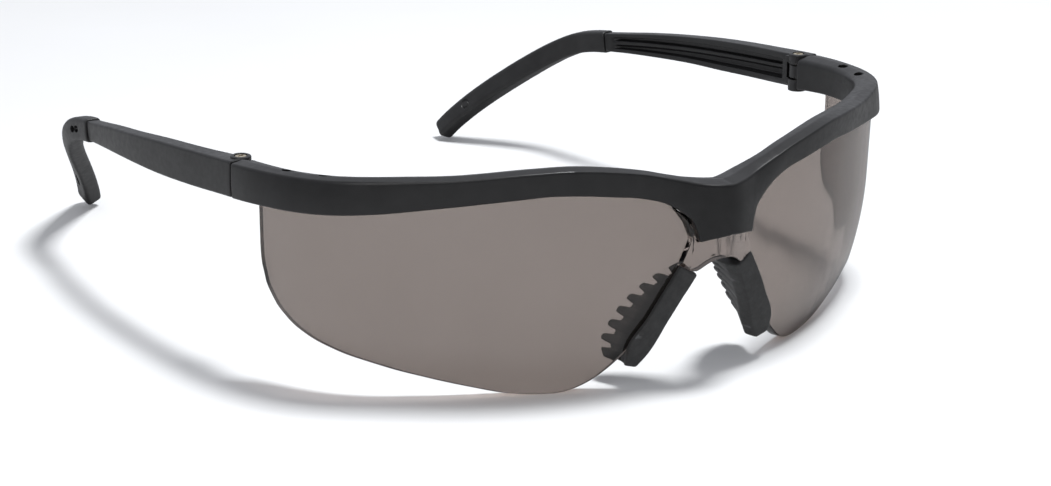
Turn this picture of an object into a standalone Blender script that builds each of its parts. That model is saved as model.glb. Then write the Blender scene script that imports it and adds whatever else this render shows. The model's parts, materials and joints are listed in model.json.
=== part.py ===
"""Wraparound half-frame safety glasses with folding, length-adjustable temples.

Metres, +Z up. +X is the wearer's left, the front faces -Y and the temples run towards +Y. The origin is
under the middle of the bounding box, on the surface that the lens and the temple tips rest on.
Sizes below are in millimetres, measured from the foremost point of the brow bar (y = 0)."""

import math

import bmesh
import bpy
from mathutils import Matrix, Vector

MM = 0.001
MID_DEPTH = 88.35  # y of the bounding box's middle, where the origin goes
GAP = 0.3  # clearance between neighbouring pieces

# Plan of the brow bar's upper front edge, from the nose to the hinge joint: x, y.
PLAN = [(0, 0), (8, 2.2), (16, 3.6), (24, 5.6), (32, 8.8), (40, 13.2), (48, 18.7), (55, 24),
        (61.2, 29.2), (66.4, 35.5), (70, 43), (72.1, 51.3), (73.25, 60), (73.6, 66)]
# Along the plan (u, from the nose): bar's top height, front face's lean back, bar's depth front to back.
BAR = [(0, 41.5, -0.2, 7.3), (6, 42.1, -0.1, 6.4), (12, 43.7, 0.6, 5.4), (17.5, 45.2, 1.2, 5.2),
       (25, 46.5, 1.1, 5.2), (32.5, 47.1, 0.8, 5.2), (40, 46.8, 0.7, 5.3), (55, 45.5, 0.3, 5.1),
       (68, 45.0, -0.5, 4.9), (80, 44.2, -0.9, 5.0), (92, 43.4, -0.9, 5.1), (99, 42.9, -0.6, 5.5),
       (105, 42.4, 0.0, 5.9)]
# Along the plan: height of the bar's lower edge. It drops to the bridge piece over the nose.
BAR_FOOT = [(0, 31.2), (5.5, 30.5), (6.5, 30.3), (7.0, 32.0), (7.9, 34.3), (9.8, 36.2), (13, 38.3),
            (18, 39.9), (25, 41.0), (30.5, 41.6), (36, 41.8), (42, 41.3), (55, 39.9), (80, 37.35),
            (98, 35.9), (105, 35.1)]
BAR_END = 104.9  # u of the butt joint with the temple
# Where the bar and the lens both have a section, so that the groove follows the lens.
STOPS = [0, 2, 4, 5.4, 6.2, 6.6, 6.9, 7.3, 7.9, 8.8, 9.8, 11.2, 13, 15, 17, 19, 20.8, 23, 25.5, 28, 31,
         34, 37, 41, 45, 49, 53, 57, 61, 65, 69, 73, 77, 81, 85, 88, 91, 93.5, 95.5]
GROOVE = [(0, 2.5), (98.0, 2.5), (99.9, 0.4), (105, 0.3)]  # depth of the lens groove in the underside

LENS_THICK = 2.2
LENS_END = 97.3
LENS_SET_BACK = [(0, 2.6), (30, 2.4), (60, 1.1), (80, 0.95), (105, 1.0)]  # from the plan edge
LENS_LEAN = 0.052  # slope of the lens back from the vertical, where it faces forward
LENS_LEAN_TOP = 38.0  # height where that lean starts
LENS_CURL = 25.0  # below this height the lens also curls under
LENS_RADIUS = 75.0  # on this radius
LENS_BITE = 2.1  # how far the lens reaches up into the groove
# Along the plan: height of the lens's lower edge, over the nose arch, down the nose side, and round.
LENS_FOOT = [(0, 26.0), (2.5, 25.8), (4.5, 25.0), (5.8, 24.1), (7.5, 23.3), (12.7, 16.6), (17.2, 10.2),
             (20.6, 6.6), (25.7, 2.8), (30.4, 0.7), (35.2, 0.0), (40.5, 0.2), (46, 0.9), (52, 2.3),
             (58, 3.8), (64, 5.4), (71.5, 7.4), (79.5, 9.4), (86, 11.5), (91, 14.2), (94.6, 18.0),
             (96.5, 22.5), (97.3, 28), (97.5, 33)]

# Nose pad strip, top to bottom: fraction, nose-side u and z, lens-side u and z.
PAD_STRIP = [(0, 6.0, 22.9, 9.3, 25.2), (0.5, 10.6, 13.9, 14.9, 15.9), (0.88, 14.6, 6.4, 19.3, 8.2),
             (1.0, 16.6, 4.4, 19.2, 5.3)]
# Nose pad wing, top to bottom: fraction, offset of its rear edge outwards, backwards and upwards.
PAD_WING = [(0, -0.6, 4.2, 0.4), (0.3, 0.6, 7.6, 0.6), (0.6, 1.9, 8.6, 0.5), (0.85, 2.5, 7.0, 0.4),
            (1.0, 2.2, 4.0, 0.8)]
WING_THICK = 1.5
PAD_TEETH = 8
TOOTH_GAP = 0.9  # width and depth of the comb's gaps
TOOTH_DEEP = 2.4

# Hinge. Heights are pairs of lowest and highest.
AXIS_X, AXIS_Y = 69.7, 64.6
LOBE_R = 2.05  # the temple's two lobes hold the bar's knuckle between them
LOBE_TOP = (40.4, 42.55)
LOBE_LOW = (34.4, 36.9)
KNUCKLE_R = 1.85
KNUCKLE = (37.2, 40.1)
NECK_HALF = 1.5
NECK_FRONT = 60.3  # the knuckle's neck starts here, inside the bar
BUTT_Y = 62.55  # front end of the temple
CHEEK_X = 72.3  # the temple's outer wall is outside this
BLOCK_REAR = 67.4  # the block behind the lobes
BLOCK_INNER = 68.3
SCREW_R = 0.7
SCREW_HEAD = (1.1, 41.6, 42.25)  # radius, then lowest and highest
SCREW_FOOT = 34.9
RECESS = (0.9, 0.17, 0.4)  # the cross recess's reach, half width and depth
NUT_R = 1.25
NUT = (34.8, 36.0)
THROUGH = 1.0  # how far cutters run on past the faces they open

# Temple arm, front to rear: y, then its outer top edge's x and z, its height and its thickness.
ARM = [(BUTT_Y, 73.35, 42.4, 7.3, 4.0), (68, 73.5, 41.9, 7.3, 4.3), (75, 73.6, 41.2, 7.3, 3.9),
       (82, 73.7, 40.5, 7.2, 3.7), (93, 73.5, 39.3, 6.9, 3.5), (105, 72.8, 37.7, 6.1, 3.1),
       (117, 71.4, 35.9, 5.3, 3.0), (126, 70.05, 34.3, 4.6, 2.8), (131.7, 69.1, 33.3, 4.3, 2.7)]
ARM_LEAN = math.radians(9.2)  # the rear end's slope, which its sections turn to meet
ARM_TURN = math.radians(8.0)  # the rear end's turn inwards
CHANNEL = [(69.5, 0.0), (71.5, 1.0), (126, 1.0), (130, 0.0)]  # open share of the inner side's channel
ARM_WALL = 1.5
TONGUE = (1.5, 2.4, 10.5)  # thickness, height and length of what slides in the sleeve

# Temple tip: its middle line from the sleeve's mouth to the foot: x, y, z, then thickness and height.
TIP = [(67.76, 131.47, 31.13, 3.5, 5.1), (67.1, 136.2, 30.35, 3.55, 5.0), (66.45, 140.9, 29.1, 3.6, 4.95),
       (65.4, 145.6, 27.0, 3.7, 4.9), (63.6, 150.2, 24.2, 3.75, 4.9), (61.2, 154.7, 20.9, 3.8, 4.9),
       (58.4, 159.1, 17.3, 3.8, 4.85), (55.4, 163.5, 13.4, 3.75, 4.8), (52.5, 167.7, 9.3, 3.7, 4.75),
       (49.9, 171.6, 5.0, 3.7, 4.7), (47.8, 175.0, 0.6, 3.7, 4.7)]
TIP_FACE_START = Vector((-0.99, -0.14, 0))  # the way the tip's inner face looks at the sleeve
TIP_FACE_END = Vector((-0.91, -0.02, 0.42))  # and at the foot
POCKET_DEPTH = 11.2
TIP_CORNER = 0.7  # the tip's cut corners
DETENTS = (6.4, 8.9)  # distance of the two detent windows from the sleeve's mouth
DETENT_SIZE = (0.9, 4.0, 2.0)  # length, depth from the middle line outwards, height
CORD_EYE = 8  # which TIP station carries the eye recess
EYE = (1.3, 0.8)  # its radius and depth on the inner face
EYE_SLOT = (1.6, 1.5, 6.0)  # the outer face's slot: depth both ways, width, length

VENTS = [(80.9, 2.95), (90.6, 2.85)]  # u and set-back of the vent holes
VENT_SIZE = (2.8, 1.9, 3.0)  # length along the bar, width, depth

FLOOR_CUT = ((30, 150, -5), (70, 190, 0))  # takes the tip's end down to a flat foot

BLACK_NYLON = ("black_nylon", (0.022, 0.021, 0.022, 1), 0.42, 0.0)
SLEEVE_NYLON = ("sleeve_nylon", (0.030, 0.029, 0.030, 1), 0.5, 0.0)
PAD_RUBBER = ("pad_rubber", (0.045, 0.045, 0.046, 1), 0.6, 0.0)
SMOKE_LENS = ("smoke_lens", (0.24, 0.21, 0.20, 0.6), 0.05, 0.0)
SCREW_STEEL = ("screw_steel", (0.72, 0.66, 0.52, 1), 0.3, 1.0)


def spline(rows, flat_peaks=False):
    """A smooth function through rows of (key, values...). flat_peaks keeps it from overshooting."""
    keys = [row[0] for row in rows]
    values = [row[1:] for row in rows]
    steps = [keys[i + 1] - keys[i] for i in range(len(keys) - 1)]
    rises = [[(b - a) / step for a, b in zip(values[i], values[i + 1])] for i, step in enumerate(steps)]

    def slope(i, k):
        if i in (0, len(keys) - 1):
            return rises[min(i, len(rises) - 1)][k]
        before, after = rises[i - 1][k], rises[i][k]
        if flat_peaks and before * after <= 0:
            return 0.0
        mean = (before * steps[i] + after * steps[i - 1]) / (steps[i - 1] + steps[i])
        if flat_peaks:
            mean = math.copysign(min(abs(mean), 3 * abs(before), 3 * abs(after)), mean)
        return mean

    slopes = [[slope(i, k) for k in range(len(values[0]))] for i in range(len(keys))]

    def at(key):
        i = 0
        while i < len(steps) - 1 and key > keys[i + 1]:
            i += 1
        step = steps[i]
        t = min(max((key - keys[i]) / step, 0.0), 1.0)
        weights = (2 * t**3 - 3 * t**2 + 1, 3 * t**2 - 2 * t**3, t**3 - 2 * t**2 + t, t**3 - t**2)
        return [weights[0] * a + weights[1] * b + step * (weights[2] * p + weights[3] * q)
                for a, b, p, q in zip(values[i], values[i + 1], slopes[i], slopes[i + 1])]

    return at


def by_length(points):
    """Rows of (distance along the points, point) for spline."""
    rows = [(0.0, *points[0])]
    for a, b in zip(points, points[1:]):
        rows.append((rows[-1][0] + math.dist(a[:3], b[:3]), *b))
    return rows


plan_rows = by_length(PLAN)
plan_rows.insert(0, (-plan_rows[1][0], -PLAN[1][0], PLAN[1][1]))
plan_at = spline(plan_rows)
bar_at = spline(BAR)
bar_foot_at = spline(BAR_FOOT, flat_peaks=True)
groove_at = spline(GROOVE, flat_peaks=True)
set_back_at = spline(LENS_SET_BACK)
lens_foot_at = spline(LENS_FOOT, flat_peaks=True)
strip_at = spline(PAD_STRIP)
wing_at = spline(PAD_WING)
arm_at = spline(ARM)
channel_at = spline(CHANNEL, flat_peaks=True)
tip_rows = by_length(TIP)
tip_at = spline(tip_rows)


def along_plan(u):
    """The plan's direction at u, away from the nose."""
    ahead, behind = plan_at(u + 0.1), plan_at(u - 0.1)
    return Vector((ahead[0] - behind[0], ahead[1] - behind[1])).normalized()


def wrap(u, inward, z):
    """The point at u along the plan, set back inward from it, at height z. Negative u is the right half."""
    side = -1 if u < 0 else 1
    u = abs(u)
    x, y = plan_at(u)
    along = along_plan(u)
    return Vector((side * (x - inward * along.y), y + inward * along.x, z))


def lens_front(u, z):
    """Set-back of the lens's front surface: it leans back from the bar and curls under towards its foot."""
    lean = LENS_LEAN * along_plan(u).x * max(LENS_LEAN_TOP - z, 0.0)
    return set_back_at(u)[0] + lean + max(LENS_CURL - z, 0.0) ** 2 / (2 * LENS_RADIUS)


def clear_scene():
    for obj in list(bpy.data.objects):
        bpy.data.objects.remove(obj)


def collection(name):
    made = bpy.data.collections.new(name)
    bpy.context.scene.collection.children.link(made)
    return made


def material(name, colour, roughness, metallic):
    made = bpy.data.materials.get(name)
    if made:
        return made
    made = bpy.data.materials.new(name)
    made.use_nodes = True
    shader = made.node_tree.nodes["Principled BSDF"]
    shader.inputs["Base Color"].default_value = (*colour[:3], 1)
    shader.inputs["Alpha"].default_value = colour[3]
    shader.inputs["Roughness"].default_value = roughness
    shader.inputs["Metallic"].default_value = metallic
    return made


def place(name, bm, finish=None, origin=(0, 0, 0), smooth_angle=35):
    """Makes an object of a mesh drawn in millimetres. With no finish it is a cutter or a joining helper."""
    centre = Vector(origin)
    bmesh.ops.recalc_face_normals(bm, faces=bm.faces)
    bmesh.ops.translate(bm, verts=bm.verts, vec=-centre)
    bmesh.ops.scale(bm, verts=bm.verts, vec=(MM, MM, MM))
    mesh = bpy.data.meshes.new(name)
    bm.to_mesh(mesh)
    bm.free()
    obj = bpy.data.objects.new(name, mesh)
    obj.location = (centre - Vector((0, MID_DEPTH, 0))) * MM
    if finish:
        parts.objects.link(obj)
        mesh.materials.append(material(*finish))
        mesh.shade_smooth()
        mesh.set_sharp_from_angle(angle=math.radians(smooth_angle))
    else:
        cutters.objects.link(obj)
        obj.hide_render = True
        obj.display_type = "WIRE"
    return obj


def boolean(obj, helper, operation="DIFFERENCE"):
    modifier = obj.modifiers.new(helper.name, "BOOLEAN")
    modifier.operation = operation
    modifier.object = helper
    modifier.solver = "EXACT"


def loft(rings):
    """A closed solid through rings of equal length, capped at both ends."""
    bm = bmesh.new()
    rows = [[bm.verts.new(point) for point in ring] for ring in rings]
    count = len(rows[0])
    for one, two in zip(rows, rows[1:]):
        for i in range(count):
            j = (i + 1) % count
            bm.faces.new((one[i], one[j], two[j], two[i]))
    bm.faces.new(rows[0])
    bm.faces.new(reversed(rows[-1]))
    return bm


def cylinder(x, y, low, high, radius, sides=32, bm=None):
    bm = bm or bmesh.new()
    bmesh.ops.create_cone(bm, cap_ends=True, segments=sides, radius1=radius, radius2=radius,
                          depth=high - low, matrix=Matrix.Translation((x, y, (low + high) / 2)))
    return bm


def box(low, high, bm=None):
    bm = bm or bmesh.new()
    size = [b - a for a, b in zip(low, high)]
    middle = [(a + b) / 2 for a, b in zip(low, high)]
    bmesh.ops.create_cube(bm, size=1, matrix=Matrix.Translation(middle) @ Matrix.Diagonal((*size, 1)))
    return bm


def oriented_box(centre, axes, size, bm=None):
    """A box of the given size along three unit axes."""
    bm = bm or bmesh.new()
    turn = Matrix([[axis[i] for axis in axes] for i in range(3)]).to_4x4()
    bmesh.ops.create_cube(bm, size=1, matrix=Matrix.Translation(centre) @ turn @ Matrix.Diagonal((*size, 1)))
    return bm


def mirrored(bm, side):
    """Turns a piece drawn on the wearer's left into its right-hand twin."""
    if side < 0:
        bmesh.ops.scale(bm, verts=bm.verts, vec=(-1, 1, 1))
    return bm


def both_halves(stops):
    return [-u for u in reversed(stops) if u > 0] + list(stops)


def bar_ring(u):
    top, lean, depth = bar_at(abs(u))
    foot = bar_foot_at(abs(u))[0]
    groove = groove_at(abs(u))[0]
    lip = lens_front(abs(u), foot) - GAP
    rear_lip = lip + LENS_THICK + 2 * GAP
    back = max(depth, rear_lip + 1.0)
    middle = (top + foot) / 2
    outline = [(0.35, top), (0.0, top - 0.45), (0.5 * lean - 0.15, middle), (lean, foot + 0.35),
               (lean + 0.3, foot), (lip, foot), (lip, foot + groove), (rear_lip, foot + groove),
               (rear_lip, foot), (back - 0.4, foot), (back, foot + 0.5), (depth, top - 1.1),
               (depth - 0.5, top - 0.6), (depth / 2, top - 0.1)]
    return [wrap(u, inward, z) for inward, z in outline]


def make_brow_bar():
    stops = STOPS + [96.7, 98.0, 99.9, 102, BAR_END]
    bar = place("brow_bar", loft([bar_ring(u) for u in both_halves(stops)]), BLACK_NYLON)
    for side, word in SIDES:
        knuckle = cylinder(AXIS_X, AXIS_Y, *KNUCKLE, KNUCKLE_R)
        neck = box((AXIS_X - NECK_HALF, NECK_FRONT, KNUCKLE[0]),
                   (AXIS_X + NECK_HALF, AXIS_Y, KNUCKLE[1]))
        boolean(bar, place(f"knuckle_{word}", mirrored(knuckle, side)), "UNION")
        boolean(bar, place(f"knuckle_neck_{word}", mirrored(neck, side)), "UNION")
        notch = cylinder(AXIS_X, AXIS_Y, LOBE_TOP[0] - GAP, LOBE_TOP[1] + 2 * THROUGH, LOBE_R + GAP)
        cylinder(AXIS_X, AXIS_Y, LOBE_LOW[0] - 2 * THROUGH, LOBE_LOW[1] + GAP, LOBE_R + GAP, bm=notch)
        boolean(bar, place(f"lobe_notch_{word}", mirrored(notch, side)))
        bore = cylinder(AXIS_X, AXIS_Y, KNUCKLE[0] - THROUGH, KNUCKLE[1] + THROUGH, SCREW_R + GAP, 20)
        boolean(bar, place(f"knuckle_bore_{word}", mirrored(bore, side)))
        boolean(bar, place(f"vents_{word}", mirrored(vent_holes(), side)))
    return bar


def vent_holes():
    bm = bmesh.new()
    length, width, deep = VENT_SIZE
    for u, inward in VENTS:
        middle = wrap(u, inward, bar_at(u)[0] - deep + 2 * THROUGH)
        along = (wrap(u + 0.5, inward, 0) - wrap(u - 0.5, inward, 0)).normalized()
        turn = Matrix.Rotation(math.atan2(along.y, along.x), 4, "Z")
        stretch = Matrix.Diagonal((length, width, 4 * THROUGH, 1))
        bmesh.ops.create_cone(bm, cap_ends=True, segments=20, radius1=0.5, radius2=0.5, depth=1,
                              matrix=Matrix.Translation(middle) @ turn @ stretch)
    return bm


def make_lens():
    stops = STOPS + [96.4, 97.0, LENS_END]
    rows = 9

    def ring(u):
        foot = lens_foot_at(abs(u))[0]
        top = bar_foot_at(abs(u))[0] + LENS_BITE
        heights = [foot + (top - foot) * i / (rows - 1) for i in range(rows)]
        front = [wrap(u, lens_front(abs(u), z), z) for z in heights]
        back = [wrap(u, lens_front(abs(u), z) + LENS_THICK, z) for z in heights]
        return front + back[::-1]

    return place("lens", loft([ring(u) for u in both_halves(stops)]), SMOKE_LENS)


def lens_edge(z):
    """u of the lens's nose-side edge at height z."""
    low, high = 7.5, 22.0
    for _ in range(30):
        middle = (low + high) / 2
        low, high = (middle, high) if lens_foot_at(middle)[0] > z else (low, middle)
    return low


def pad_section(t):
    """The pad's ring at fraction t from top to bottom, and the middle of its wing's rear edge."""
    nose_u, nose_z, lens_u, lens_z = strip_at(t)
    width = lens_u - nose_u

    def point(a, depth):
        u, z = nose_u + a * width, nose_z + a * (lens_z - nose_z)
        return wrap(u, lens_front(u, z) + depth, z)

    edge = 0.5
    for _ in range(12):
        edge = (lens_edge(nose_z + edge * (lens_z - nose_z)) - 2 * GAP - nose_u) / width
        edge = min(max(edge, 0.2), 0.8)
    back = LENS_THICK + GAP
    root = (point(0.1, back) + point(edge, back)) / 2
    wing = root + Vector(wing_at(t))
    out = (point(1, 0) - point(0, 0)).normalized() * (WING_THICK / 2)
    ring = [point(0, 0.1), point(0.14, -0.55), point(0.88, -1.15), point(1, -0.8), point(1, -GAP),
            point(edge, -GAP), point(edge, back), (root + wing) / 2 + out * 1.15, wing + out * 0.8,
            wing - out * 0.8, (root + wing) / 2 - out * 1.15, point(0, back - 0.4)]
    return ring, root, wing


def make_nose_pad(side, word):
    steps = 15
    sections = [pad_section(0.01 + 0.99 * i / (steps - 1)) for i in range(steps)]
    pad = place(f"nose_pad_{word}", mirrored(loft([ring for ring, _, _ in sections]), side), PAD_RUBBER)
    combs = bmesh.new()
    for i in range(1, PAD_TEETH):
        t = i / PAD_TEETH
        _, root, wing = pad_section(t)
        out = (wing - root).normalized()
        along = pad_section(t + 0.04)[2] - pad_section(t - 0.04)[2]
        along = (along - out * along.dot(out)).normalized()
        deep = TOOTH_DEEP + THROUGH
        oriented_box(wing + out * (THROUGH - deep / 2), (out, along, out.cross(along)),
                     (deep, TOOTH_GAP, 4 * WING_THICK), combs)
    boolean(pad, place(f"comb_{word}", mirrored(combs, side)))
    return pad


def arm_frame(y):
    """The arm's outer top edge at y, and its section's inward and upward directions."""
    x, z = arm_at(y)[:2]
    share = min(max((y - 70) / 45, 0), 1)
    lean, turn = ARM_LEAN * share, ARM_TURN * share
    inward = Vector((-math.cos(turn), -math.sin(turn), 0))
    upward = Vector((0, math.sin(lean), math.cos(lean)))
    return Vector((x, y, z)), inward, upward


def arm_ring(y):
    edge, inward, upward = arm_frame(y)
    height, thick = arm_at(y)[2:]
    share = channel_at(y)[0]
    floor = thick + (ARM_WALL - thick) * share
    ridge = thick + (ARM_WALL + 0.9 - thick) * share
    wall, half = 0.19 * height, height / 2
    outline = [(0.25, 0), (thick - 0.25, 0), (thick, 0.25), (thick, wall), (floor, wall + 0.15),
               (floor, half - 0.75), (ridge, half - 0.4), (ridge, half + 0.4), (floor, half + 0.75),
               (floor, height - wall - 0.15), (thick, height - wall), (thick, height - 0.25),
               (thick - 0.25, height), (0.25, height), (0, height - 0.25), (-0.12, half), (0, 0.25)]
    return [edge + inward * t - upward * drop for t, drop in outline]


def rear_axis():
    """Directions of the sleeve's slide: along it, inward and upward."""
    _, inward, upward = arm_frame(ARM[-1][0])
    along = inward.cross(upward).normalized()
    if along.y < 0:
        along = -along
    return along, inward, upward.cross(along).cross(along).normalized() * -1


def sleeve_mouth():
    """The middle of the arm's rear end."""
    edge, inward, upward = arm_frame(ARM[-1][0])
    height, thick = ARM[-1][3:]
    return edge + inward * thick / 2 - upward * height / 2


def make_arm(side, word):
    stops = [BUTT_Y, 65, 68, 69.5, 70.5, 71.5, 74, 78, 83, 88, 93, 98, 103, 108, 113, 118, 122, 126, 128, 130,
             131.7]
    hinge = (side * AXIS_X, AXIS_Y, 0)
    arm = place(f"temple_arm_{word}", mirrored(loft([arm_ring(y) for y in stops]), side), BLACK_NYLON, hinge)
    top = cylinder(AXIS_X, AXIS_Y, *LOBE_TOP, LOBE_R)
    low = cylinder(AXIS_X, AXIS_Y, *LOBE_LOW, LOBE_R)
    block = box((BLOCK_INNER, AXIS_Y, LOBE_LOW[0] + 0.9), (CHEEK_X, BLOCK_REAR, LOBE_TOP[1] - 0.8))
    for name, helper in (("top_lobe", top), ("low_lobe", low), ("block", block)):
        boolean(arm, place(f"{name}_{word}", mirrored(helper, side)), "UNION")
    slot = box((AXIS_X - 3 * LOBE_R, AXIS_Y - 2 * LOBE_R, KNUCKLE[0] - GAP),
               (CHEEK_X, AXIS_Y + KNUCKLE_R + 0.2, KNUCKLE[1] + GAP))
    boolean(arm, place(f"slot_{word}", mirrored(slot, side)))
    bore = cylinder(AXIS_X, AXIS_Y, LOBE_LOW[0] - THROUGH, LOBE_TOP[1] + THROUGH, SCREW_R + GAP, 20)
    boolean(arm, place(f"bore_{word}", mirrored(bore, side)))
    sink = cylinder(AXIS_X, AXIS_Y, SCREW_HEAD[1] - GAP, LOBE_TOP[1] + THROUGH, SCREW_HEAD[0] + GAP, 24)
    boolean(arm, place(f"screw_sink_{word}", mirrored(sink, side)))
    pocket = cylinder(AXIS_X, AXIS_Y, LOBE_LOW[0] - THROUGH, NUT[1] + GAP, NUT_R + GAP + 0.05, 6)
    boolean(arm, place(f"nut_pocket_{word}", mirrored(pocket, side)))
    along, inward, upward = rear_axis()
    thick, height, length = TONGUE
    tongue = oriented_box(sleeve_mouth() + along * (length / 2 - THROUGH), (along, inward, upward),
                          (length + 2 * THROUGH, thick, height))
    boolean(arm, place(f"tongue_{word}", mirrored(tongue, side)), "UNION")
    return arm


def tip_frame(s):
    """The tip's middle point at distance s, with its inner face's direction and the way across it."""
    length = tip_rows[-1][0]
    x, y, z, thick, height = tip_at(s)
    along = (Vector(tip_at(min(s + 0.3, length))[:3]) - Vector(tip_at(max(s - 0.3, 0))[:3])).normalized()
    share = min(max((s - POCKET_DEPTH) / (length - POCKET_DEPTH), 0), 1)
    face = TIP_FACE_START.lerp(TIP_FACE_END, share)
    face = (face - along * face.dot(along)).normalized()
    across = along.cross(face).normalized()
    return Vector((x, y, z)), face, across, thick, height


def tip_ring(s):
    middle, face, across, thick, height = tip_frame(s)
    half, tall = thick / 2, height / 2
    cut = TIP_CORNER
    corners = [(1, 1), (-1, 1), (-1, -1), (1, -1)]
    ring = []
    for i, (f, a) in enumerate(corners):
        steps = [(half, tall - cut), (half - 0.2, tall - 0.2), (half - cut, tall)]
        for t, h in steps if i % 2 == 0 else steps[::-1]:
            ring.append(middle + face * f * t + across * a * h)
    return ring


def make_tip(side, word):
    length = tip_rows[-1][0]
    stops = [0, 3, 6, 9, 12, 14, 16, 18.5, 21, 24, 27, 30, 33, 36.5, 40, 44, 48, length]
    hinge = (side * AXIS_X, AXIS_Y, 0)
    body = mirrored(loft([tip_ring(s) for s in stops]), side)
    tip = place(f"temple_tip_{word}", body, SLEEVE_NYLON, hinge)
    along, inward, upward = rear_axis()
    thick, height, _ = TONGUE
    bore = oriented_box(sleeve_mouth() + along * (POCKET_DEPTH / 2 - THROUGH), (along, inward, upward),
                        (POCKET_DEPTH + 2 * THROUGH, thick + 2 * GAP, height + 2 * GAP))
    boolean(tip, place(f"tip_bore_{word}", mirrored(bore, side)))
    windows = bmesh.new()
    for reach in DETENTS:
        outside = sleeve_mouth() + along * reach - inward * DETENT_SIZE[1] / 2
        oriented_box(outside, (along, inward, upward), DETENT_SIZE, windows)
    boolean(tip, place(f"detent_windows_{word}", mirrored(windows, side)))
    middle, face, across, thick, _ = tip_frame(tip_rows[CORD_EYE][0])
    eye = bmesh.new()
    turn = Matrix([[axis[i] for axis in (across, face.cross(across), face)] for i in range(3)]).to_4x4()
    radius, deep = EYE
    mouth = middle + face * (thick / 2 - deep + THROUGH)
    bmesh.ops.create_cone(eye, cap_ends=True, segments=24, radius1=radius, radius2=radius,
                          depth=2 * THROUGH, matrix=Matrix.Translation(mouth) @ turn)
    oriented_box(middle - face * thick / 2, (face, across, face.cross(across)), EYE_SLOT, eye)
    boolean(tip, place(f"eye_{word}", mirrored(eye, side)))
    floor = box(*FLOOR_CUT)
    boolean(tip, place(f"floor_{word}", mirrored(floor, side)))
    return tip


def make_screw(side, word):
    """A turned screw with a cross recess in its head."""
    radius, low, high = SCREW_HEAD
    profile = [(0, high), (radius - 0.3, high), (radius, high - 0.25), (radius, low), (SCREW_R, low),
               (SCREW_R, SCREW_FOOT + 0.2), (SCREW_R - 0.2, SCREW_FOOT), (0, SCREW_FOOT)]
    mesh = bpy.data.meshes.new(f"hinge_screw_{word}")
    edges = [(i, i + 1) for i in range(len(profile) - 1)]
    mesh.from_pydata([(x * MM, 0, z * MM) for x, z in profile], edges, [])
    screw = bpy.data.objects.new(mesh.name, mesh)
    screw.location = (side * AXIS_X * MM, (AXIS_Y - MID_DEPTH) * MM, 0)
    parts.objects.link(screw)
    mesh.materials.append(material(*SCREW_STEEL))
    turned = screw.modifiers.new("turned", "SCREW")
    turned.steps = turned.render_steps = 24
    turned.use_merge_vertices = True
    turned.merge_threshold = 0.00001
    turned.use_normal_calculate = True
    recess = bmesh.new()
    reach, half, deep = RECESS
    for half_x, half_y in ((reach, half), (half, reach)):
        box((side * AXIS_X - half_x, AXIS_Y - half_y, high - deep),
            (side * AXIS_X + half_x, AXIS_Y + half_y, high + THROUGH), recess)
    boolean(screw, place(f"recess_{word}", recess))
    screw.modifiers[-1].use_self = True
    return screw


def make_nut(side, word):
    nut = place(f"hinge_nut_{word}", cylinder(side * AXIS_X, AXIS_Y, *NUT, NUT_R, 6), SCREW_STEEL,
                (side * AXIS_X, AXIS_Y, 0))
    hole = cylinder(side * AXIS_X, AXIS_Y, NUT[0] - THROUGH, NUT[1] + THROUGH, SCREW_R + GAP - 0.05, 20)
    boolean(nut, place(f"nut_hole_{word}", hole))
    return nut


def make_temple(side, word):
    """An arm with its tip, screw and nut, all carried by an empty on the hinge axis."""
    pivot = bpy.data.objects.new(f"hinge_axis_{word}", None)
    pivot.location = Vector((side * AXIS_X, AXIS_Y - MID_DEPTH, 0)) * MM
    parts.objects.link(pivot)
    bpy.context.view_layer.update()
    for piece in (make_arm(side, word), make_tip(side, word), make_screw(side, word), make_nut(side, word)):
        piece.parent = pivot
        piece.matrix_parent_inverse = pivot.matrix_world.inverted()


SIDES = ((1, "left"), (-1, "right"))
clear_scene()
parts = collection("safety_glasses")
cutters = collection("cutters")
make_brow_bar()
make_lens()
for side, word in SIDES:
    make_nose_pad(side, word)
    make_temple(side, word)
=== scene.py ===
"""The looks of the safety glasses: fine surfaces, materials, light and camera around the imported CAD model.

Pieces are drawn in millimetres in the CAD design's own layout, with y = 0 at the foremost point of the
brow bar, and the fold joint's position in the record says where that layout lies in the row frame."""

import json
import math

import bmesh
import bpy
from mathutils import Matrix, Vector


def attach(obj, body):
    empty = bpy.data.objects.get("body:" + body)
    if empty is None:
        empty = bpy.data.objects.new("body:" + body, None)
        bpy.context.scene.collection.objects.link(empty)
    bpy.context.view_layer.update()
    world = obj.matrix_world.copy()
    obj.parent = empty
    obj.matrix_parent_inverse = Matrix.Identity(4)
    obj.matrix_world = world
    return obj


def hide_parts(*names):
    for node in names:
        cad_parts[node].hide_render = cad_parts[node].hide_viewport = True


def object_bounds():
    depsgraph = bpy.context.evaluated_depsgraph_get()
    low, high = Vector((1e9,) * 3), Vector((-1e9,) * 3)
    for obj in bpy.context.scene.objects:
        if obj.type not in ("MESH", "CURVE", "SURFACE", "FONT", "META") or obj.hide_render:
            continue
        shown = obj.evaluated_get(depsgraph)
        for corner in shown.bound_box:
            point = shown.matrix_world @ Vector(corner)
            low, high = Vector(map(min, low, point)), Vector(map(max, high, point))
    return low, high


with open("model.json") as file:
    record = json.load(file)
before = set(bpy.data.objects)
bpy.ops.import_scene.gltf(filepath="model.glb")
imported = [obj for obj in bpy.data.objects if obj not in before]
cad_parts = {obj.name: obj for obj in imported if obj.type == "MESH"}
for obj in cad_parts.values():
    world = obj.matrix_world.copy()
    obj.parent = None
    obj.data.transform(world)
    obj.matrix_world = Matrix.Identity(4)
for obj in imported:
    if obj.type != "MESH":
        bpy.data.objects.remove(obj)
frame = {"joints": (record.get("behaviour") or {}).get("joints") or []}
cad_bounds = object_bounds()

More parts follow.
